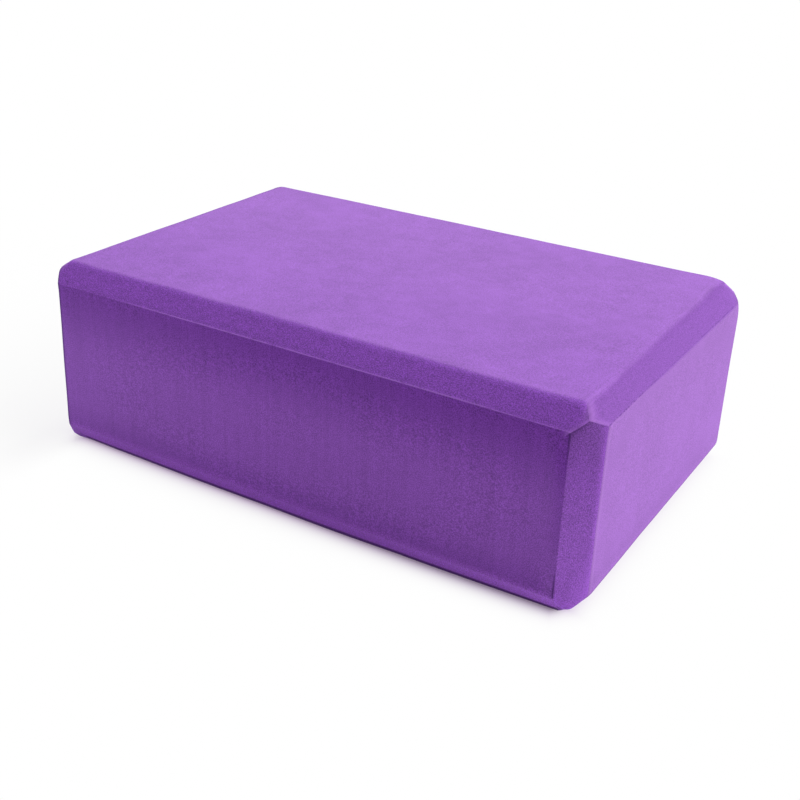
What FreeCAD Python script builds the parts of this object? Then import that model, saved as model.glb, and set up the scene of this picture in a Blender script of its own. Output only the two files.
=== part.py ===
import FreeCAD, Part
import enum
import os
import Sketcher

# Yoga block: one solid piece of closed-cell EVA foam, sawn to a brick and bevelled along all twelve edges.
# Frame: millimetres, +Z up, +X along the long sides, origin in the middle of the bottom face.

# Every size of the block in millimetres. A bevel's run is its reach across the top or bottom face, its drop
# the reach down or up the face beside it.
SIZES = {
    "block_length": 228.6,
    "block_width": 152.4,
    "block_height": 76.2,
    "upright_bevel_on_side": 8.0,
    "upright_bevel_on_end": 11.5,
    "top_side_bevel_run": 8.6,
    "top_side_bevel_drop": 6.6,
    "top_end_bevel_run": 6.5,
    "top_end_bevel_drop": 6.8,
    "low_side_bevel_run": 7.4,
    "low_side_bevel_drop": 10.2,
    "low_end_bevel_run": 8.2,
    "low_end_bevel_drop": 7.0,
    "ridge_round": 3.5,
    "crease_round": 1.0,
}


class LineEnd(enum.IntEnum):
    """The two ends of a line, as a sketch numbers them."""

    START = 1
    END = 2


class SketchAxis(enum.IntEnum):
    """A sketch's own two axes, as it numbers them."""

    HORIZONTAL = -1
    VERTICAL = -2


doc = FreeCAD.newDocument("yoga_block")
sheet = doc.addObject("Spreadsheet::Sheet", "sizes")
for row, (alias, value) in enumerate(SIZES.items(), start=1):
    sheet.set(f"A{row}", alias)
    sheet.set(f"B{row}", str(value))
    sheet.setAlias(f"B{row}", alias)
doc.recompute()


def new_sketch(body, name, role):
    """An empty sketch on one of the body's own origin planes."""
    sketch = body.newObject("Sketcher::SketchObject", name)
    plane = next(item for item in body.Origin.OriginFeatures if item.Role == role)
    sketch.AttachmentSupport = (plane, "")
    sketch.MapMode = "FlatFace"
    return sketch


def closed_outline(sketch, corners):
    """Lines from corner to corner and back to the first, joined end to end. Returns each line's start."""
    points = [FreeCAD.Vector(x, y, 0) for x, y in corners]
    ahead = points[1:] + points[:1]
    lines = [sketch.addGeometry(Part.LineSegment(*ends), False) for ends in zip(points, ahead)]
    for line, following in zip(lines, lines[1:] + lines[:1]):
        sketch.addConstraint(Sketcher.Constraint("Coincident", line, LineEnd.END, following, LineEnd.START))
    return [(line, LineEnd.START) for line in lines]


def mirror(sketch, point, other, axis):
    """Makes two points mirror images about one of the sketch's axes."""
    sketch.addConstraint(Sketcher.Constraint("Symmetric", *point, *other, axis))


def measure(sketch, direction, start, end, alias):
    """Sets the distance between two points, along X or Y, to a size from the sheet."""
    value = getattr(sheet, alias)
    index = sketch.addConstraint(Sketcher.Constraint(f"Distance{direction}", *start, *end, value))
    sketch.setExpression(f"Constraints[{index}]", f"sizes.{alias}")


def sawn_brick(body):
    """The brick before its flat faces are bevelled, with its four upright corners already taken off.

    Its plan outline runs from the near right-hand corner round to the near left-hand one."""
    plan = new_sketch(body, "plan_outline", "XY_Plane")
    end_x = sheet.block_length / 2
    side_y = sheet.block_width / 2
    bevel_x = end_x - sheet.upright_bevel_on_side
    bevel_y = side_y - sheet.upright_bevel_on_end
    right_half = [(bevel_x, -side_y), (end_x, -bevel_y), (end_x, bevel_y), (bevel_x, side_y)]
    left_half = [(-x, y) for x, y in reversed(right_half)]
    corners = closed_outline(plan, right_half + left_half)
    right, left = corners[: len(right_half)], corners[len(right_half) :]
    for corner, opposite in zip(right, reversed(left)):
        mirror(plan, corner, opposite, SketchAxis.VERTICAL)
    near_side, near_end, far_end, far_side = right
    mirror(plan, near_side, far_side, SketchAxis.HORIZONTAL)
    mirror(plan, near_end, far_end, SketchAxis.HORIZONTAL)
    left_near_end = left[-2]
    measure(plan, "X", left_near_end, near_end, "block_length")
    measure(plan, "Y", near_side, far_side, "block_width")
    measure(plan, "X", near_side, near_end, "upright_bevel_on_side")
    measure(plan, "Y", near_side, near_end, "upright_bevel_on_end")
    pad = body.newObject("PartDesign::Pad", "brick")
    pad.Profile = plan
    pad.setExpression("Length", "sizes.block_height")
    doc.recompute()
    return pad


def bevel_edge(sketch, level, inward, span, run, drop):
    """Draws the two corner triangles that one bevel takes off a section, and returns the right-hand corner.

    level is the height of the flat face, inward the way from it into the block, up or down."""
    half = getattr(sheet, span) / 2
    inner = half - getattr(sheet, run)
    foot = level + inward * getattr(sheet, drop)
    right_corners = [(half, level), (inner, level), (half, foot)]
    left_corners = [(-x, y) for x, y in right_corners]
    right = closed_outline(sketch, right_corners)
    left = closed_outline(sketch, left_corners)
    for point, other in zip(right, left):
        mirror(sketch, point, other, SketchAxis.VERTICAL)
    corner, on_flat, on_wall = right
    sketch.addConstraint(Sketcher.Constraint("Horizontal", *corner, *on_flat))
    sketch.addConstraint(Sketcher.Constraint("Vertical", *corner, *on_wall))
    lower, upper = (corner, on_wall) if inward > 0 else (on_wall, corner)
    measure(sketch, "X", left[0], corner, span)
    measure(sketch, "X", on_flat, corner, run)
    measure(sketch, "Y", lower, upper, drop)
    return corner


def bevel_cut(body, name, role, span, top_legs, low_legs):
    """Bevels the four edges that stand square to an origin plane, the two above and the two below.

    span is the block's size across that plane, the legs are each bevel's run and drop."""
    sketch = new_sketch(body, f"{name}_outline", role)
    top_corner = bevel_edge(sketch, sheet.block_height, -1, span, *top_legs)
    low_corner = bevel_edge(sketch, 0.0, 1, span, *low_legs)
    measure(sketch, "Y", low_corner, top_corner, "block_height")
    sketch.addConstraint(Sketcher.Constraint("PointOnObject", *low_corner, SketchAxis.HORIZONTAL))
    cut = body.newObject("PartDesign::Pocket", name)
    cut.Profile = sketch
    cut.Type = "ThroughAll"
    cut.SideType = "Symmetric"
    doc.recompute()
    return cut


def rims_of_top_and_bottom(shape):
    """The edges round the highest face and the lowest one."""
    faces = sorted(shape.Faces, key=lambda face: face.CenterOfMass.z)
    return faces[0].Edges + faces[-1].Edges


def edges_between_planes(shape):
    """The edges that are still sharp between two plane faces."""
    sharp = []
    for edge in shape.Edges:
        faces = shape.ancestorsOfType(edge, Part.Face)
        if all(face.Surface.TypeId == "Part::GeomPlane" for face in faces):
            sharp.append(edge)
    return sharp


def rounded(body, name, base, edges, alias):
    """Rounds some edges of a feature with a radius from the sheet."""
    names = []
    for number, edge in enumerate(base.Shape.Edges, start=1):
        if any(edge.isSame(wanted) for wanted in edges):
            names.append(f"Edge{number}")
    fillet = body.newObject("PartDesign::Fillet", name)
    fillet.Base = (base, names)
    fillet.setExpression("Radius", f"sizes.{alias}")
    doc.recompute()
    return fillet


block = doc.addObject("PartDesign::Body", "Block")
block.Label = "foam_block"
brick = sawn_brick(block)

# The bevels along the two long sides, and then along the two ends.
side_bevels = bevel_cut(
    block,
    "side_bevels",
    "YZ_Plane",
    "block_width",
    ("top_side_bevel_run", "top_side_bevel_drop"),
    ("low_side_bevel_run", "low_side_bevel_drop"),
)
end_bevels = bevel_cut(
    block,
    "end_bevels",
    "XZ_Plane",
    "block_length",
    ("top_end_bevel_run", "top_end_bevel_drop"),
    ("low_end_bevel_run", "low_end_bevel_drop"),
)

# The flat top and bottom roll softly into their bevels. The edges between the other faces are nearly crisp.
ridges = rounded(block, "ridges", end_bevels, rims_of_top_and_bottom(end_bevels.Shape), "ridge_round")
creases = rounded(block, "creases", ridges, edges_between_planes(ridges.Shape), "crease_round")
block.Tip = creases
doc.recompute()

for item in doc.Objects:
    if "Invalid" in item.State or "Error" in item.State:
        raise RuntimeError(f"{item.Name} failed: {item.State}")
steps = [brick, side_bevels, end_bevels, ridges, creases]
for before, after in zip(steps, steps[1:]):
    if after.Shape.Volume >= before.Shape.Volume:
        raise RuntimeError(f"{after.Name} took nothing off")
if block.Shape.isNull() or not block.Shape.isValid():
    raise RuntimeError("foam_block has no valid shape")

os.makedirs("parts", exist_ok=True)
block.Shape.exportStep(f"parts/{block.Label}.step")
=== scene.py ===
import math
from types import SimpleNamespace

import bpy
import numpy as np
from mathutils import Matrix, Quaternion, Vector, noise


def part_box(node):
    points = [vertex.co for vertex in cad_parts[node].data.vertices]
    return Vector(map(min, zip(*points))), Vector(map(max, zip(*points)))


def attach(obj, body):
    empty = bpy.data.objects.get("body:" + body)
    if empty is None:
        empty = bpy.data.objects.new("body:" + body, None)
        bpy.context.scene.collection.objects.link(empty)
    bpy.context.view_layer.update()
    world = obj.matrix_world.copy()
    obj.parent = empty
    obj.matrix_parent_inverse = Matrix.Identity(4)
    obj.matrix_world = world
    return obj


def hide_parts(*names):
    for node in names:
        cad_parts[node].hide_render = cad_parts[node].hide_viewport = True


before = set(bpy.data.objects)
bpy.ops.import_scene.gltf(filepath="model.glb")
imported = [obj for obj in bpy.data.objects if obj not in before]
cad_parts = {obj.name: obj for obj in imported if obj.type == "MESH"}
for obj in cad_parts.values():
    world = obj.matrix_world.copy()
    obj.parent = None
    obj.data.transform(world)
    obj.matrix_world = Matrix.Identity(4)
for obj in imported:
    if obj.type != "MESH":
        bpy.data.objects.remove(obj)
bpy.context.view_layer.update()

# The foam block. One solid brick of closed-cell EVA foam. It is sawn to size, which leaves its faces a
# little hollow, and all twelve edges are planed to bevels. The plane opens the cells, so the bevels are
# grainy and deep in colour, and it leaves thin torn lips and scored lines where its cuts run out. These
# stand up or are cut in a little, and their pale and dark colours are painted highlight and shade.
mm = 0.001
_, block_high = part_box("foam_block")
half_length = block_high.x
half_width = block_high.y
block_height = block_high.z

# How far each bevel reaches: run is across the top or bottom face, drop down or up the face beside it.
upright_on_side = 7.9 * mm
upright_on_end = 12.1 * mm
top_side_run = 8.6 * mm
top_side_drop = 6.6 * mm
top_end_run = 6.5 * mm
top_end_drop = 6.85 * mm
low_side_run = 6.8 * mm
low_side_drop = 10.2 * mm
low_end_run = 8.2 * mm
low_end_drop = 6.95 * mm

# How the upright bevels differ, because the block is fed by hand. The far ones are shallower. The left
# ones lean in towards the top, about a pivot near mid-height, and lose a share of the lean at their two
# ends. The near ones swell towards their two ends, less so on the left.
far_upright_less = 1.5 * mm
left_lean = 2.3 * mm
lean_pivot = 0.54 * block_height
lean_lost_at_top = 0.3
lean_lost_at_foot = 0.6
upright_swell = 1.25 * mm
swell_lost_on_left = 0.6

# How the top bevels differ. The far one grows deeper towards the left, about a pivot right of the middle.
# The left one is shallower, most of all at its near end, and keeps a share of that at its far end.
far_taper = 0.95 * mm
taper_pivot = 0.26 * half_length
left_top_less = 0.45 * mm
top_less_kept_far = 0.2

# How the foot bevels differ. Those of the sides reach in further towards their ends, a little less so on
# the left. The left end's one runs out towards its near corner, and the near side's one at its left end.
foot_bow = 2.1 * mm
bow_lost_on_left = 0.25
end_run_out = 2.5 * mm
side_run_out = 0.5 * mm

# How softly two faces roll into each other: the reach of the roll, measured square to one of them.
side_ridge_roll = 1.2 * mm
end_ridge_roll = 1.8 * mm
hip_roll = 3.5 * mm
foot_roll = 0.5 * mm
side_crease_roll = 0.2 * mm
end_crease_roll = 0.7 * mm

# How much is worn off the two far top corners, where three bevels meet, and how softly. The right-hand
# corners at the foot are only rolled over.
far_right_wear = 0.75 * mm
far_right_roll = 6.0 * mm
far_left_wear = 0.6 * mm
far_left_roll = 3.0 * mm
low_corner_roll = 2.0 * mm

# The hollow of the sawn faces, in the middle and at the ends of each.
side_hollow = 0.7 * mm
end_hollow = 0.5 * mm
corner_hollow = 0.18 * mm

# The height of the torn lips and of the swollen rims, the depth of the scored lines, and how sharply such
# a mark stops at the edge of the face that it is on.
lip_height = 0.16 * mm
rim_height = 0.10 * mm
score_depth = 0.14 * mm
crisp = 0.08 * mm


class Shade:
    """A socket in a material. Arithmetic on it, with numbers or other sockets, adds Math nodes."""

    def __init__(self, tree, socket=None):
        self.tree = tree
        self.socket = socket

    def node(self, kind, settings, inputs, output=0):
        """Adds a node to the same material, sets it up, fills its inputs and returns one of its outputs."""
        made = self.tree.nodes.new(kind)
        for name, value in settings.items():
            setattr(made, name, value)
        for name, value in inputs.items():
            if isinstance(value, Shade):
                self.tree.links.new(value.socket, made.inputs[name])
            else:
                made.inputs[name].default_value = value
        return Shade(self.tree, made.outputs[output] if made.outputs else None)

    def maths(self, operation, first, second=0.0):
        return self.node("ShaderNodeMath", {"operation": operation}, {0: first, 1: second})

    def __add__(self, other):
        return self.maths("ADD", self, other)

    def __sub__(self, other):
        return self.maths("SUBTRACT", self, other)

    def __rsub__(self, other):
        return self.maths("SUBTRACT", other, self)

    def __mul__(self, other):
        return self.maths("MULTIPLY", self, other)

    def __truediv__(self, other):
        return self.maths("DIVIDE", self, other)

    def __pow__(self, other):
        return self.maths("POWER", self, other)

    def __rpow__(self, other):
        return self.maths("POWER", other, self)

    def __neg__(self):
        return self.maths("MULTIPLY", self, -1.0)

    def __abs__(self):
        return self.maths("ABSOLUTE", self)

    __radd__ = __add__
    __rmul__ = __mul__

    def mixed(self, low, high):
        """A colour between two, by this value."""
        return self.node("ShaderNodeMix", {"data_type": "RGBA"}, {0: self, 6: low, 7: high}, output=2)

    def spread(self, low, high):
        """This value spread out so that low becomes 0 and high becomes 1, and no further."""
        inputs = {"Value": self, "From Min": low, "From Max": high}
        return self.node("ShaderNodeMapRange", {"clamp": True}, inputs)


# The same sums place the mesh, on arrays of points, and its finishes, on the sockets of the material.
def larger(first, second):
    """The larger of two values."""
    if isinstance(first, Shade):
        return first.maths("MAXIMUM", first, second)
    return np.maximum(first, second)


def between(first, last, share):
    """A value that goes from the first to the last as the share goes from 0 to 1."""
    return first + (last - first) * share


def ease(values, start, end):
    """Rises smoothly from 0 at start to 1 at end."""
    share = (values - start) / (end - start)
    if isinstance(share, Shade):
        share = share.node("ShaderNodeClamp", {}, {"Value": share})
    else:
        share = np.clip(share, 0, 1)
    return share * share * (3 - 2 * share)


def hump(values, centre, spread):
    """A rounded bump, 1 at its centre."""
    return math.e ** -(((values - centre) / spread) ** 2)


def on_left(x):
    """1 on the left half of the block and 0 on the right half."""
    return ease(x, mm, -mm)


def on_far(y):
    """1 on the far half of the block and 0 on the near half."""
    return ease(y, -mm, mm)


def lies_on(face, beside):
    """1 on a face and 0 on the one beside it, from how far a point is outside each."""
    return ease(face - beside, 0, crisp)


def bevel_plane(first, second, reach_on_first, reach_on_second):
    """Distance outside the plane that cuts off the edge of two faces, from the distances outside them."""
    weighted = first * reach_on_first + second * reach_on_second + reach_on_first * reach_on_second
    return weighted / math.hypot(reach_on_first, reach_on_second)


def faces_of_block(x, y, z):
    """Distance outside each face and bevel of the block."""
    far = on_far(y)
    left = on_left(x)
    top = z - block_height
    base = -z
    beyond_side = abs(y) - half_width
    beyond_end = abs(x) - half_length

    arch = 1 - (z / (block_height / 2) - 1) ** 2
    side_sag = between(corner_hollow, side_hollow, 1 - (x / half_length) ** 2)
    end_sag = between(corner_hollow, end_hollow, 1 - (y / half_width) ** 2)

    near_top = ease(z, 66 * mm, 71 * mm)
    near_foot = ease(z, 14 * mm, 6 * mm)
    lean = left_lean * left * ((z - lean_pivot) / block_height)
    lean = lean * (1 - lean_lost_at_top * near_top - lean_lost_at_foot * near_foot)
    upright = bevel_plane(beyond_side, beyond_end + lean, upright_on_side, upright_on_end)
    # Nothing along the two edges of an upright bevel, and 1 midway between them.
    across = 4 * (beyond_side / upright_on_end) * (beyond_end / upright_on_side)
    towards_ends = ease(z, 50 * mm, 72 * mm) + ease(z, 22 * mm, 6 * mm)
    swell = upright_swell * across * (towards_ends * (1 - far) * (1 - swell_lost_on_left * left))

    taper = far_taper * far * ((taper_pivot - x) / (2 * half_length))
    towards_near = (1 - y / half_width) / 2
    top_less = left_top_less * left * between(top_less_kept_far, 1, towards_near)

    bow = foot_bow * (1 - bow_lost_on_left * left) * (x / half_length) ** 2
    bow = bow * (low_side_drop - z) / math.hypot(low_side_run, low_side_drop)
    side_out = side_run_out * (1 - far) * ease(x, -102 * mm, -111 * mm)
    end_out = end_run_out * left * ease(y, -25 * mm, -65 * mm)
    return SimpleNamespace(
        top=top,
        base=base,
        side=beyond_side + side_sag * arch,
        end=beyond_end + end_sag * arch,
        top_side=bevel_plane(top, beyond_side, top_side_run, top_side_drop) + taper,
        top_end=bevel_plane(top, beyond_end, top_end_run, top_end_drop) - top_less,
        low_side=bevel_plane(base, beyond_side, low_side_run, low_side_drop) + bow - side_out,
        low_end=bevel_plane(base, beyond_end, low_end_run, low_end_drop) - end_out,
        upright=upright - swell - far_upright_less * far,
    )


def torn_lips(face, x):
    """Where the lower edge of the sides' top bevels is torn up, from 0 to 1. The lips stand up a little,
    and their pale colour is painted highlight.
    """
    along_side = ease(x, -85 * mm, -45 * mm) - 0.35 * ease(x, 60 * mm, 100 * mm)
    above_side = hump(face.side, -0.17 * mm, 0.16 * mm) * lies_on(face.top_side, face.side)
    above_upright = hump(face.upright, -0.3 * mm, 0.22 * mm) * lies_on(face.top_side, face.upright)
    return above_side * along_side + 0.8 * above_upright * (1 - on_left(x))


def rims_and_highlights(face, x, y):
    """Where the foam swells up beside a cut, and where highlights are painted along it, on four kinds of
    edge, from 0 to 1. The ridge and corner lines are painted highlights only.
    """
    near = ease(y, -5 * mm, -45 * mm)
    under_bevel = 0.5 * near * hump(face.top_end, -0.3 * mm, 0.3 * mm)
    on_end = under_bevel + hump(face.upright, -0.5 * mm, 0.5 * mm)
    hip = hump(face.top_end - face.top_side, 1.1 * mm, 1.5 * mm)
    hip = hip * ease(face.top_end - face.top, -0.6 * mm, 0.4 * mm)
    on_bevel = larger(hip, 0.65 * hump(face.upright, -0.4 * mm, 1.1 * mm))
    ridge_highlight_line = near * hump(face.top_end - face.top, -0.5 * mm, 0.6 * mm)
    beside_ridge = larger(larger(face.top_side, face.side), face.end)
    corner_highlight_line = hump(face.upright, -0.9 * mm, 0.7 * mm) * (1 - on_left(x))
    return SimpleNamespace(
        end=on_end * lies_on(face.end, larger(face.top_end, face.upright)),
        bevel=on_bevel * lies_on(face.top_end, larger(face.top_side, face.upright)),
        ridge=ridge_highlight_line * lies_on(larger(face.top, face.top_end), beside_ridge),
        corner=corner_highlight_line * lies_on(face.top_side, face.upright),
    )


def scored_lines(face, x, z):
    """Where the plane scored the creases round the upright bevels as it ran out of a cut, and the lines
    where the top bevels meet them, from 0 to 1. They are cut in a little, and their dark colour is
    painted shade.
    """
    left = on_left(x)
    above = larger(face.top_side, face.top_end)
    from_crease = face.side - face.upright
    towards_ends = ease(z, 58 * mm, 68 * mm) + ease(z, 24 * mm, 12 * mm)
    right_crease = hump(from_crease, 0.12 * mm, 0.3 * mm) * towards_ends * (1 - left)
    left_crease = 0.85 * hump(from_crease, 0.3 * mm, 0.45 * mm) * left
    down_crease = (right_crease + left_crease) * lies_on(larger(face.side, face.upright), above)
    down_crease = down_crease * ease(face.side - face.low_side, -0.4 * mm, 0)
    # The lines where the top bevels meet the upright ones: cut in a little, and painted shade.
    over_upright = 0.7 * hump(face.upright, -0.3 * mm, 0.4 * mm) * lies_on(face.top_side, face.upright)
    under_side_bevel = 0.35 * hump(face.top_side, -0.3 * mm, 0.5 * mm)
    under_end_bevel = 0.25 * hump(face.top_end, -0.2 * mm, 0.18 * mm)
    under_bevels = (under_side_bevel + under_end_bevel) * lies_on(face.upright, above)
    return down_crease + over_upright * left + under_bevels


def nicked_crease(face):
    """Where the crease between an end face and the bevel above it is nicked, from 0 to 1. The nicks are cut
    in a little, and their dark colour is painted shade.
    """
    return hump(face.top_end - face.end, 0, 0.16 * mm) * ease(face.top_end, -0.4 * mm, -0.2 * mm)


def rolled(first, second, roll):
    """The larger of two distances, with the corner where they are equal rolled over."""
    overlap = np.maximum(roll - np.abs(first - second), 0) / roll
    return np.maximum(first, second) + overlap * overlap * roll / 4


def outside_block(points, uneven, torn):
    """How far points are outside the finished block. Negative inside."""
    x, y, z = points.T
    face = faces_of_block(x, y, z)
    at_hip = ease(face.top_end - face.top, -mm, mm)
    ridge_roll = between(side_ridge_roll, hip_roll, at_hip)
    cap = rolled(rolled(face.top, face.top_end, end_ridge_roll), face.top_side, ridge_roll)
    wall = rolled(rolled(face.side, face.upright, side_crease_roll), face.end, end_crease_roll)
    at_end = ease(face.top_end - face.top_side, -mm, mm)
    crease_roll = between(side_crease_roll, end_crease_roll, at_end)
    beyond_walls = face.upright - np.maximum(face.side, face.end)
    at_low_corner = ease(beyond_walls, -1.5 * mm, 0.5 * mm) * (1 - on_left(x))
    low_roll = between(side_crease_roll, low_corner_roll, at_low_corner)
    foot = rolled(face.base, face.low_side, foot_roll)
    foot = rolled(foot, face.low_end, np.maximum(foot_roll, low_roll))
    body = rolled(rolled(cap, wall, crease_roll), foot, low_roll)

    # One more cut wears off each far top corner. Over the near ones it is so far out that it takes nothing.
    corner_wear = np.where(x > 0, far_right_wear, far_left_wear)
    corner_roll = np.where(x > 0, far_right_roll, far_left_roll)
    corner = (face.top_side + face.top_end + face.upright) / 3
    body = rolled(body, corner + np.where(y > 0, corner_wear, -corner_roll), corner_roll)

    rims = rims_and_highlights(face, x, y)
    raised = lip_height * torn * torn_lips(face, x) + rim_height * (rims.end + rims.bevel)
    return body + uneven - raised + score_depth * (scored_lines(face, x, z) + nicked_crease(face))


# The mesh is a box cut along lines that crowd together beside the creases, and each point is then moved
# straight out from the core of the block, or in towards it, until it lies on the block's surface.
core_inset = 13 * mm
open_step = 4.0 * mm
edge_step = 0.7 * mm
crease_step = 0.16 * mm
crease_reach = 0.6 * mm
line_samples = 8001


def mesh_lines(low, high, creases):
    """Places of the mesh lines between two opposite faces."""
    fine = np.linspace(low, high, line_samples)
    from_face = np.minimum(fine - low, high - fine)
    near_face = 1 - ease(from_face, 0.9 * core_inset, 1.6 * core_inset)
    crowding = between(1 / open_step, 1 / edge_step, near_face)
    for crease in creases:
        crowding += hump(fine, crease, crease_reach) / crease_step
    passed = np.concatenate([[0], np.cumsum((crowding[1:] + crowding[:-1]) / 2 * np.diff(fine))])
    return np.interp(np.linspace(0, passed[-1], round(passed[-1]) + 1), passed, fine)


def shell_of_box(lines):
    """Points and four-sided faces of a box's surface, cut along the mesh lines of its three directions."""
    counts = [len(places) for places in lines]
    index = np.indices(counts)
    on_shell = np.zeros(counts, bool)
    for places, count in zip(index, counts):
        on_shell |= (places == 0) | (places == count - 1)
    number = np.full(counts, -1)
    number[on_shell] = np.arange(on_shell.sum())
    points = np.stack([places[steps[on_shell]] for places, steps in zip(lines, index)], axis=1)
    outward = [number[-1], number[:, 0], number[:, :, -1]]
    inward = [number[0], number[:, -1], number[:, :, 0]]
    faces = []
    for sheet in outward + [sheet.T for sheet in inward]:
        corners = [sheet[:-1, :-1], sheet[1:, :-1], sheet[1:, 1:], sheet[:-1, 1:]]
        faces.append(np.stack(corners, axis=-1).reshape(-1, 4))
    return points, np.concatenate(faces)


x_creases = [half_length - reach for reach in (top_end_run, low_end_run, upright_on_side)]
y_creases = [half_width - reach for reach in (top_side_run, low_side_run, upright_on_end)]
z_creases = [low_side_drop, low_end_drop, block_height - top_side_drop]
x_lines = mesh_lines(-half_length, half_length, x_creases + [-place for place in x_creases])
y_lines = mesh_lines(-half_width, half_width, y_creases + [-place for place in y_creases])
z_lines = mesh_lines(0, block_height, z_creases)
box_points, box_faces = shell_of_box([x_lines, y_lines, z_lines])

core_low = np.array([-half_length, -half_width, 0]) + core_inset
core_high = np.array([half_length, half_width, block_height]) - core_inset
core_points = np.clip(box_points, core_low, core_high)
way_out = box_points - core_points
box_reach = np.linalg.norm(way_out, axis=1)
way_out /= box_reach[:, None]

# The slow wobble of hand-fed cuts, in layers that are each finer and weaker than the one before, and how
# high the lips are torn from place to place.
wobble = 0.12 * mm
wobble_size = 35 * mm
wobble_weaker = 1.0
wobble_finer = 2.0
wobble_layers = 3
torn_size = 6 * mm
torn_mean = 0.65
torn_swing = 0.7
torn_least = 0.1
torn_most = 1.2
wobble_detail = (wobble_weaker, wobble_finer, wobble_layers)
uneven = np.array([noise.fractal(Vector(p) / wobble_size, *wobble_detail) for p in box_points]) * wobble
torn = np.array([noise.noise(Vector(p) / torn_size) for p in box_points])
torn = np.clip(torn_mean + torn_swing * torn, torn_least, torn_most)

# The surface is found on each way out by halving the stretch that it must lie in, again and again.
search_margin = 2 * mm
halvings = 30
inside_reach = np.zeros(len(box_points))
outside_reach = box_reach + search_margin
for _ in range(halvings):
    reach = (inside_reach + outside_reach) / 2
    too_far = outside_block(core_points + way_out * reach[:, None], uneven, torn) > 0
    outside_reach = np.where(too_far, reach, outside_reach)
    inside_reach = np.where(too_far, inside_reach, reach)
block_points = core_points + way_out * inside_reach[:, None]
block_points[:, 2] = np.maximum(block_points[:, 2], 0)

block_mesh = bpy.data.meshes.new("yoga_block")
block_mesh.from_pydata(block_points.tolist(), [], box_faces.tolist())
block_mesh.shade_smooth()
block = bpy.data.objects.new("yoga_block", block_mesh)
bpy.context.scene.collection.objects.link(block)


def new_finish(name):
    """An empty material, with a blank to start its nodes from."""
    material = bpy.data.materials.new(name)
    material.use_nodes = True
    material.node_tree.nodes.clear()
    return material, Shade(material.node_tree)


def foam_grain(start, place):
    """The textures of the foam, each from 0 to 1, apart from wander, which swings about 0."""

    def cloud(scale, detail, roughness, vector=place, distortion=0.0):
        """Clouded noise, its scale in waves to the metre."""
        inputs = {"Vector": vector, "Scale": scale, "Detail": detail, "Roughness": roughness}
        inputs["Distortion"] = distortion
        return start.node("ShaderNodeTexNoise", {}, inputs, output="Fac")

    def stretched(x_share, y_share, z_share):
        """The place, scaled so that a texture is drawn out along the direction with the smallest share."""
        inputs = {0: place, 1: (x_share, y_share, z_share)}
        return start.node("ShaderNodeVectorMath", {"operation": "MULTIPLY"}, inputs)

    up_the_side = stretched(1.0, 1.0, 0.03)
    along_the_end = stretched(1.0, 0.07, 1.0)
    along_the_edges = stretched(0.5, 0.5, 1.0)
    grain = SimpleNamespace(
        bloom=cloud(34, 4, 0.58, distortion=0.3).spread(0.38, 0.62),
        blotch=cloud(150, 3, 0.55, distortion=0.3).spread(0.38, 0.62),
        cells=cloud(2700, 1, 0.5).spread(0.32, 0.68),
        clumps=cloud(420, 3, 0.6).spread(0.3, 0.7),
        flecks=cloud(1900, 1, 0.5).spread(0.68, 0.78),
        streaks=cloud(520, 2, 0.6, up_the_side).spread(0.3, 0.7),
        strokes=cloud(800, 3, 0.65, along_the_end).spread(0.36, 0.64),
        tears=cloud(260, 2, 0.6).spread(0.26, 0.5),
        dots=cloud(700, 2, 0.6).spread(0.42, 0.56),
        wander=cloud(90, 3, 0.6, along_the_edges) - 0.5,
    )
    grain.grit = 0.85 * grain.cells + 0.15 * grain.clumps + 0.35 * grain.flecks
    return grain


def shaded(colour, depth, value):
    """A colour that goes from darker to paler by a share of itself, as the value goes from 0 to 1."""
    darker = [part * (1 - depth) for part in colour] + [1]
    paler = [part * (1 + depth) for part in colour] + [1]
    return value.mixed(darker, paler)


def buffed_flats(face, grain, y):
    """The top and the base: clouded, rubbed in strokes beside the ends, and painted a shade darker and
    deeper towards the near side, as painted shade where the light falls off.
    """
    near_shaded_purple = (0.331, 0.1255, 0.564)
    far_lit_purple = (0.336, 0.133, 0.556)
    depth = 0.28
    rubbed = 0.22 * ease(face.top_end, -7 * mm, -1 * mm)
    mix = 0.16 * grain.bloom + 0.14 * grain.blotch + 0.7 * grain.cells + rubbed * (grain.strokes - 0.5)
    # Painted shade: the near side is a shade darker and deeper, where the light falls off.
    far = ease(y, -65 * mm, 35 * mm)
    return far.mixed(shaded(near_shaded_purple, depth, mix), shaded(far_lit_purple, depth, mix))


def planed_end_bevels(face, grain, y):
    """The top bevels of the ends: finely grained, and darker in their far corners."""
    purple = (0.228, 0.076, 0.404)
    depth = 0.34
    far_corner = ease(y, 0, mm) * ease(larger(face.top_side, face.upright), -3.0 * mm, -1.0 * mm)
    return shaded(purple, depth, 0.09 + 0.72 * grain.cells + 0.1 * grain.clumps - 0.5 * far_corner)


def planed_side_bevels(face, grain, x):
    """The top bevels of the sides: gritty, with painted shade just above the torn lip, and paler to the
    right.
    """
    purple = (0.238, 0.064, 0.465)
    depth = 0.5
    # Painted shade on the bevel just above the torn lip.
    shade_above_lip = 0.07 * hump(face.side, -1.2 * mm, 0.9 * mm)
    return shaded(purple, depth, grain.grit - shade_above_lip + 0.08 * ease(x, -60 * mm, 100 * mm))


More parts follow.
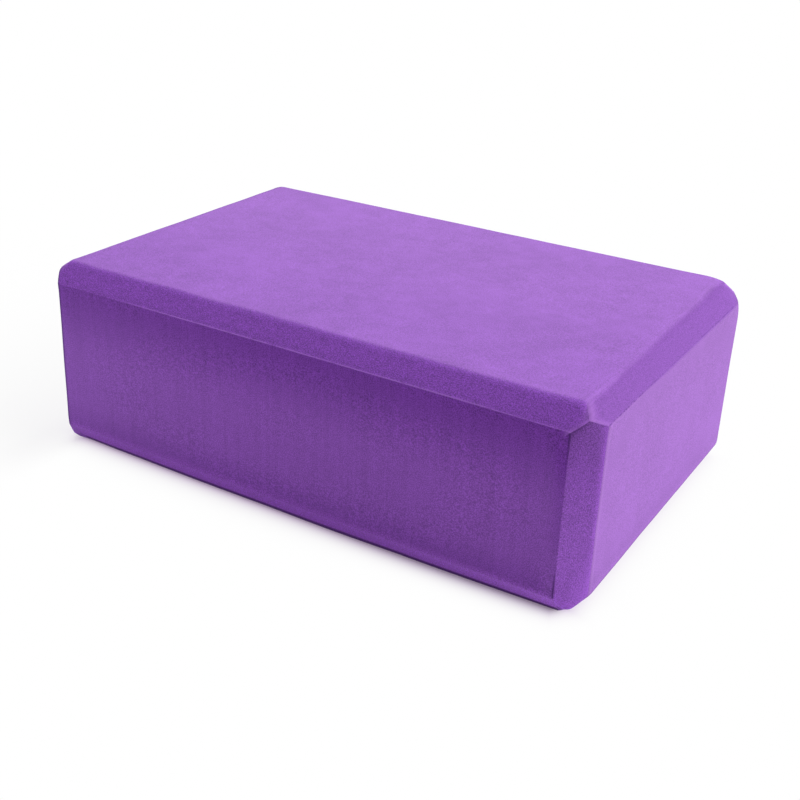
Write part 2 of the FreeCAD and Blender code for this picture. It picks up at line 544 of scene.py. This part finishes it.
def planed_upright_bevels(face, grain, x, z):
    """The upright bevels: gritty, with painted shade at the top, painted light towards the foot, and the
    most painted light in the right-hand corners there.
    """
    high_purple = (0.216, 0.060, 0.402)
    foot_purple = (0.218, 0.068, 0.393)
    lit_corner_purple = (0.33, 0.103, 0.595)
    depth = 0.5
    calmer = 0.2 * ease(z, 45 * mm, 62 * mm)
    # Painted shade: darker towards the top, and in a band under the side bevel.
    painted_top_shade = 0.09 * ease(z, 54 * mm, 69 * mm) + 0.2 * hump(face.top_side, -0.4 * mm, 1.0 * mm)
    # Painted light: paler at the foot, along the end crease, and beside the side crease low down.
    painted_foot_light = 0.12 * ease(z, 16 * mm, 4 * mm)
    end_highlight_from = (-1.6 * mm) - (1.6 * mm) * ease(z, 58 * mm, 69 * mm)
    end_crease_highlight = 0.25 * ease(face.end, end_highlight_from, -0.1 * mm)
    side_crease_light = 0.1 * ease(face.side, -5 * mm, -0.5 * mm) * ease(z, 36 * mm, 10 * mm)
    # Painted light and shade beside the end edge: paler at the foot, darker at the top.
    end_edge_light_and_shade = 0.13 * ease(z, 28 * mm, 12 * mm) - 0.14 * ease(z, 45 * mm, 68 * mm)
    end_edge_light_and_shade = end_edge_light_and_shade * hump(face.end, -1.6 * mm, 1.6 * mm)
    # The grit, calmed towards the top, with painted light that grows towards the foot.
    mix = grain.grit - calmer * (grain.grit - 0.5) - 0.1 + 0.4 * (0.8 - z / block_height)
    mix = mix - painted_top_shade + painted_foot_light + end_crease_highlight + side_crease_light + end_edge_light_and_shade
    towards_foot = ease(z, 62 * mm, 30 * mm)
    colour = towards_foot.mixed(shaded(high_purple, depth, mix), shaded(foot_purple, depth, mix))
    # Painted light: the right-hand corners at the foot, which face down, are painted brightest.
    lit_low_corner = ease(face.low_side - face.upright, -3.0 * mm, 0.5 * mm) * (1 - on_left(x))
    return lit_low_corner.mixed(colour, shaded(lit_corner_purple, depth, mix))


def beside_upright(face):
    """1 on the sides and 0 on the upright bevels, with a soft change between them."""
    return ease(face.side - face.upright, -0.2 * mm, 0.2 * mm)


def sawn_sides(face, grain, x, z):
    """The sides, streaked by the saw, with painted shade towards the top and the foot, and the foot bevels
    under them, pale like the buffed faces and painted paler still towards the right as painted light."""
    left_purple = (0.263, 0.0855, 0.470)
    right_purple = (0.261, 0.081, 0.468)
    shaded_left_purple = (0.163, 0.036, 0.327)
    shaded_right_purple = (0.160, 0.0312, 0.33)
    lit_foot_left_purple = (0.325, 0.092, 0.58)
    lit_foot_right_purple = (0.40, 0.128, 0.69)
    left_depth = 0.36
    right_depth = 0.42
    shaded_left_depth = 0.5
    shaded_right_depth = 0.6
    foot_depth = 0.34
    to_right = ease(x, -100 * mm, -10 * mm)
    mix = 0.72 * grain.cells + 0.14 * grain.clumps + 0.14 * grain.streaks
    open_left = shaded(left_purple, left_depth, mix)
    open_right = shaded(right_purple, right_depth, mix)
    shaded_left = shaded(shaded_left_purple, shaded_left_depth, mix)
    shaded_right = shaded(shaded_right_purple, shaded_right_depth, mix)
    open_colour = to_right.mixed(open_left, open_right)
    shaded_side_colour = to_right.mixed(shaded_left, shaded_right)
    # Painted shade: darker to the top and the foot; by the right crease darker up high, paler low down.
    by_crease = ease(face.upright, -5 * mm, -0.4 * mm) * ease(x, 0, 50 * mm)
    by_crease = by_crease * (0.35 * ease(z, 20 * mm, 36 * mm) - 0.35 * ease(z, 32 * mm, 14 * mm))
    deep = ease(z, 38 * mm, 71 * mm) + 0.42 * ease(z, 24 * mm, 9 * mm) + by_crease
    # Painted light: the foot bevels, pale like the buffed faces, are painted paler towards the right.
    foot_mix = 1.2 * grain.cells - 0.1
    lit_foot_left = shaded(lit_foot_left_purple, foot_depth, foot_mix)
    lit_foot_right = shaded(lit_foot_right_purple, foot_depth, foot_mix)
    lit_foot_colour = ease(x, 10 * mm, 100 * mm).mixed(lit_foot_left, lit_foot_right)
    foot = ease(face.low_side - face.side, -1.6 * mm, 1.4 * mm) * beside_upright(face)
    # The painted paleness fades beside the upright crease.
    foot = foot * (1 - 0.4 * ease(face.upright, -2.2 * mm, -0.5 * mm))
    return foot.mixed(deep.mixed(open_colour, shaded_side_colour), lit_foot_colour)


def sawn_ends(grain, y, z):
    """The end faces: finely grained, with painted light that grows towards the foot and the near side, and
    with a dark and a pale band just above the foot.
    """
    purple = (0.30, 0.1245, 0.47)
    depth = 0.25
    # Painted light: paler towards the foot, and a little towards the near side.
    painted_light_slope = 0.3 * (0.55 - z / block_height) - 0.05 * (y / half_width)
    bands = 0.06 * hump(z, 8 * mm, 1.2 * mm) - 0.1 * hump(z, 11.5 * mm, 2.5 * mm)
    mix = 0.12 * grain.bloom + 0.08 * grain.blotch + 0.8 * grain.cells + painted_light_slope + bands
    return shaded(purple, depth, mix)


def colour_of_faces(face, grain, x, y, z):
    """The colour of each face and bevel, laid over those before it as far as the edge between them."""
    flat = larger(face.top, face.base)
    side = larger(face.side, face.low_side)
    end = larger(face.end, face.low_end)
    from_end_ridge = face.top_end - flat + (0.7 * mm) * (y / half_width) + (2.0 * mm) * grain.wander
    on_end_bevel = ease(from_end_ridge, -1.7 * mm, 0.6 * mm)
    colour = on_end_bevel.mixed(buffed_flats(face, grain, y), planed_end_bevels(face, grain, y))

    above = larger(flat, face.top_end)
    at_hip = ease(face.top_end - flat, -mm, mm)
    from_side_ridge = face.top_side - above + (1.6 * mm) * grain.wander
    from_side_ridge = from_side_ridge + (0.5 * mm) * ease(x, 70 * mm, 105 * mm)
    blend_from = between(-1.2 * mm, 0.0, at_hip)
    blend_to = between(0.35 * mm, 4.15 * mm, at_hip)
    on_side_bevel = ease(from_side_ridge, blend_from, blend_to)
    colour = on_side_bevel.mixed(colour, planed_side_bevels(face, grain, x))

    above = larger(above, face.top_side)
    on_side = ease(side - above, -0.06 * mm, 0.06 * mm)
    colour = on_side.mixed(colour, sawn_sides(face, grain, x, z))
    end_softness = between(0.15 * mm, 1.25 * mm, ease(y, -45 * mm, -5 * mm))
    on_end = ease(end - larger(above, side), -0.1 * mm, end_softness)
    colour = on_end.mixed(colour, sawn_ends(grain, y, z))
    walls = larger(larger(face.side, face.end), above)
    on_upright = ease(face.upright - walls, -0.08 * mm, 0.08 * mm)
    return on_upright.mixed(colour, planed_upright_bevels(face, grain, x, z))


# The colours of the marks: pale on the torn lips and swollen rims, as painted highlight, and on ridge
# and corner lines that are painted highlight alone; dark in the scored and nicked creases, as painted
# shade; and dark along the foot, as painted shade close to the floor.
end_rim_highlight_purple = (0.36, 0.165, 0.53, 1)
ridge_highlight_purple = (0.38, 0.165, 0.59, 1)
bevel_rim_highlight_purple = (0.39, 0.158, 0.62, 1)
corner_highlight_purple = (0.36, 0.125, 0.61, 1)
lip_highlight_purple = (0.41, 0.16, 0.68, 1)
score_shade_purple = (0.06, 0.011, 0.14, 1)
nick_shade_purple = (0.12, 0.03, 0.24, 1)
side_foot_shade_purple = (0.055, 0.008, 0.125, 1)
end_foot_shade_purple = (0.13, 0.06, 0.19, 1)


def with_marks(colour, face, grain, x, y, z):
    """A colour with the marks of the cuts laid over it, partly painted highlight and shade, and the painted
    shade along the foot.
    """
    rims = rims_and_highlights(face, x, y)
    # Painted shade: dark lines along the foot of the sides and the ends, close to the floor.
    side_foot_shade = ease(z, 3.2 * mm, 1.9 * mm) * beside_upright(face)
    side_foot_shade = side_foot_shade * ease(face.low_side - face.low_end, 0, 0.5 * mm)
    end_foot_shade = hump(z, low_end_drop, 0.4 * mm) * ease(face.end - face.upright, 0, 0.2 * mm)
    marks = [
        # Painted highlights along the swollen rims, the ridges and the right-hand corners.
        (0.35 * rims.end, end_rim_highlight_purple),
        (0.4 * rims.ridge * grain.strokes, ridge_highlight_purple),
        (rims.bevel * (0.6 + 0.35 * grain.strokes), bevel_rim_highlight_purple),
        (0.45 * rims.corner, corner_highlight_purple),
        # Painted highlight along the torn lips.
        (0.85 * torn_lips(face, x) * grain.tears, lip_highlight_purple),
        # Painted shade in the scored lines.
        (0.8 * scored_lines(face, x, z), score_shade_purple),
        # Painted shade in the nicks.
        (0.9 * nicked_crease(face) * grain.dots, nick_shade_purple),
        (0.92 * side_foot_shade, side_foot_shade_purple),
        (0.4 * end_foot_shade, end_foot_shade_purple),
    ]
    for share, mark_colour in marks:
        colour = share.mixed(colour, mark_colour)
    return colour


def foam_finish():
    """Purple foam: clouded on the flats, streaked on the sawn sides, grainy and deep on the bevels."""
    material, start = new_finish("foam")
    place = start.node("ShaderNodeTexCoord", {}, {}, output="Object")
    x, y, z = (start.node("ShaderNodeSeparateXYZ", {}, {0: place}, output=axis) for axis in "XYZ")
    face = faces_of_block(x, y, z)
    grain = foam_grain(start, place)
    colour = with_marks(colour_of_faces(face, grain, x, y, z), face, grain, x, y, z)
    height = 0.7 * grain.cells + 0.3 * grain.clumps
    bump = start.node("ShaderNodeBump", {}, {"Strength": 0.25, "Distance": 0.12 * mm, "Height": height})
    inputs = {
        "Base Color": colour,
        "Roughness": 0.75,
        "Specular IOR Level": 0.25,
        "Normal": bump,
    }
    foam = start.node("ShaderNodeBsdfPrincipled", {}, inputs)
    start.node("ShaderNodeOutputMaterial", {}, {"Surface": foam})
    return material


block_mesh.materials.append(foam_finish())
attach(block, "root")
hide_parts("foam_block")

# The floor. A plain white studio sheet. To the camera it glows pure white, so that it runs into the
# white surroundings without an edge. Close to the block's foot the glow fades out and the paper's own
# shadow shows, and the fade sets the shape of that shadow, so that it is partly painted shadow.
floor_half = 3.0
paper_white = (0.85, 0.85, 0.85, 1)

# The shadow at the foot, painted by the fade of the glow, fades quickly with the distance from it. Along
# the near side it is wider and softer towards the right. It starts further in where the plan's corners
# are cut off, and further out along the left end, whose foot bevel runs out.
shadow_reach = 3.4 * mm
foot_gap = 0.75 * mm
soft_reach = 4.15 * mm
soft_share = 0.84
soft_curve = 1.43
corner_cut = 2.4 * mm
left_end_run = 0.45 * low_end_run

# Painted light and shadow: near its foot the glow takes on the block's purple, as light bounced off it,
# and to the left it is thinned, so that the paper's real shadow shows faintly there.
tint_reach = 2.2 * mm
painted_bounce_colour = (0.94, 0.66, 1.0, 1)
cast_share = 0.3
cast_reach = 50 * mm

floor_mesh = bpy.data.meshes.new("floor")
floor_corners = [(x * floor_half, y * floor_half, 0) for x, y in ((-1, -1), (1, -1), (1, 1), (-1, 1))]
floor_mesh.from_pydata(floor_corners, [], [(0, 1, 2, 3)])
floor = bpy.data.objects.new("floor", floor_mesh)
bpy.context.scene.collection.objects.link(floor)


def seen_directly(start):
    """1 for what the camera sees, itself or in gloss or through glass, and 0 for light on its way about."""
    camera = start.node("ShaderNodeLightPath", {}, {}, output="Is Camera Ray")
    glossy = start.node("ShaderNodeLightPath", {}, {}, output="Is Glossy Ray")
    through = start.node("ShaderNodeLightPath", {}, {}, output="Is Transmission Ray")
    return start.maths("MINIMUM", camera + glossy + through, 1.0)


def floor_finish():
    """White paper. The camera sees a white glow, tinted with painted bounce light near the block's foot and
    faded out there in the shape of a painted shadow, so that the paper's own shading shows through.
    """
    material, start = new_finish("white_sheet")
    place = start.node("ShaderNodeTexCoord", {}, {}, output="Object")
    x, y = (start.node("ShaderNodeSeparateXYZ", {}, {0: place}, output=axis) for axis in "XY")
    left = on_left(x)
    beyond_end = abs(x) - (half_length - between(low_end_run, left_end_run, left))
    bow = foot_bow * (1 - bow_lost_on_left * left) * (x / half_length) ** 2
    beyond_side = abs(y) - (half_width - low_side_run - bow)
    from_foot = start.maths("SQRT", larger(beyond_end, 0.0) ** 2 + larger(beyond_side, 0.0) ** 2)
    from_foot = larger(from_foot, (beyond_end + beyond_side) / math.sqrt(2) + corner_cut)
    # Painted shadow: the glow fades out close to the foot, and the paper's own shading shows.
    close = math.e ** ((from_foot + foot_gap) / -shadow_reach)
    soft = soft_share * math.e ** -((from_foot / soft_reach) ** soft_curve)
    softness = ease(x, -20 * mm, 70 * mm) * ease(y, -50 * mm, -65 * mm)
    # Painted shadow: the glow is thinned to the left, so that the paper's real shadow shows faintly.
    beside = ease(x, -100 * mm, -125 * mm) * ease(abs(y), 130 * mm, 60 * mm)
    cast = cast_share * beside * math.e ** ((x + half_length) / cast_reach)
    clear = (1 - between(close, soft, softness)) * (1 - cast)
    paper = start.node("ShaderNodeBsdfDiffuse", {}, {"Color": paper_white})
    # Painted light: the block's purple, bounced onto the sheet, is painted into the glow near its foot.
    tint = (math.e ** (from_foot / -tint_reach)).mixed((1, 1, 1, 1), painted_bounce_colour)
    white = start.node("ShaderNodeEmission", {}, {"Color": tint, "Strength": 1.0})
    shown = start.node("ShaderNodeMixShader", {}, {0: clear, 1: paper, 2: white})
    surface = start.node("ShaderNodeMixShader", {}, {0: seen_directly(start), 1: paper, 2: shown})
    start.node("ShaderNodeOutputMaterial", {}, {"Surface": surface})
    return material


floor_mesh.materials.append(floor_finish())

# The light. Soft studio lamps: the main one on the right, one overhead from the back, a fill low on the
# left in front, and a wide white card that stands low in front of the block.
room_light = 0.05


def soft_lamp(name, direction, distance, width, height, brightness):
    """A lamp that faces the block's foot. A white surface square to it there shows its brightness."""
    way = Vector(direction).normalized()
    data = bpy.data.lights.new(name, "AREA")
    data.shape = "RECTANGLE"
    data.size = width
    data.size_y = height
    data.energy = brightness * (math.pi * distance) ** 2
    lamp = bpy.data.objects.new(name, data)
    lamp.location = way * distance
    lamp.rotation_mode = "QUATERNION"
    lamp.rotation_quaternion = way.to_track_quat("Z", "Y")
    bpy.context.scene.collection.objects.link(lamp)


soft_lamp("main_lamp", (0.86, 0.28, 0.43), distance=1.3, width=0.9, height=0.9, brightness=1.0)
soft_lamp("back_lamp", (-0.3, 0.5, 0.81), distance=1.3, width=1.0, height=1.0, brightness=0.75)
soft_lamp("fill_lamp", (-0.7, -0.65, 0.3), distance=0.8, width=0.6, height=0.6, brightness=0.25)
soft_lamp("front_card", (-0.4, -0.9, 0.12), distance=0.6, width=0.6, height=0.2, brightness=0.2)

room = bpy.data.worlds.new("white_room")
bpy.context.scene.world = room
room.use_nodes = True
room.node_tree.nodes.clear()
start = Shade(room.node_tree)
strength = between(room_light, 1, seen_directly(start))
air = start.node("ShaderNodeBackground", {}, {"Color": (1, 1, 1, 1), "Strength": strength})
start.node("ShaderNodeOutputWorld", {}, {"Surface": air})

# The camera. It stands in front of the block, to its right and above it, and looks down at its middle from
# the photograph's viewing angle, with the photograph's small roll.
camera_place = Vector((223.1, -371.4, 229.8)) * mm
camera_aim = Vector((4.82, -4.80, 23.78)) * mm
camera_roll = math.radians(2.144)
camera_lens = 53.30
camera_sensor = 36.0
camera_data = bpy.data.cameras.new("camera")
camera_data.sensor_width = camera_sensor
camera_data.lens = camera_lens
camera_data.clip_start = 10 * mm
camera = bpy.data.objects.new("camera", camera_data)
camera.location = camera_place
camera.rotation_mode = "QUATERNION"
level_turn = (camera_aim - camera_place).to_track_quat("-Z", "Y")
camera.rotation_quaternion = level_turn @ Quaternion((0, 0, 1), camera_roll)
bpy.context.scene.collection.objects.link(camera)
bpy.context.scene.camera = camera
bpy.context.scene.view_settings.view_transform = "Standard"
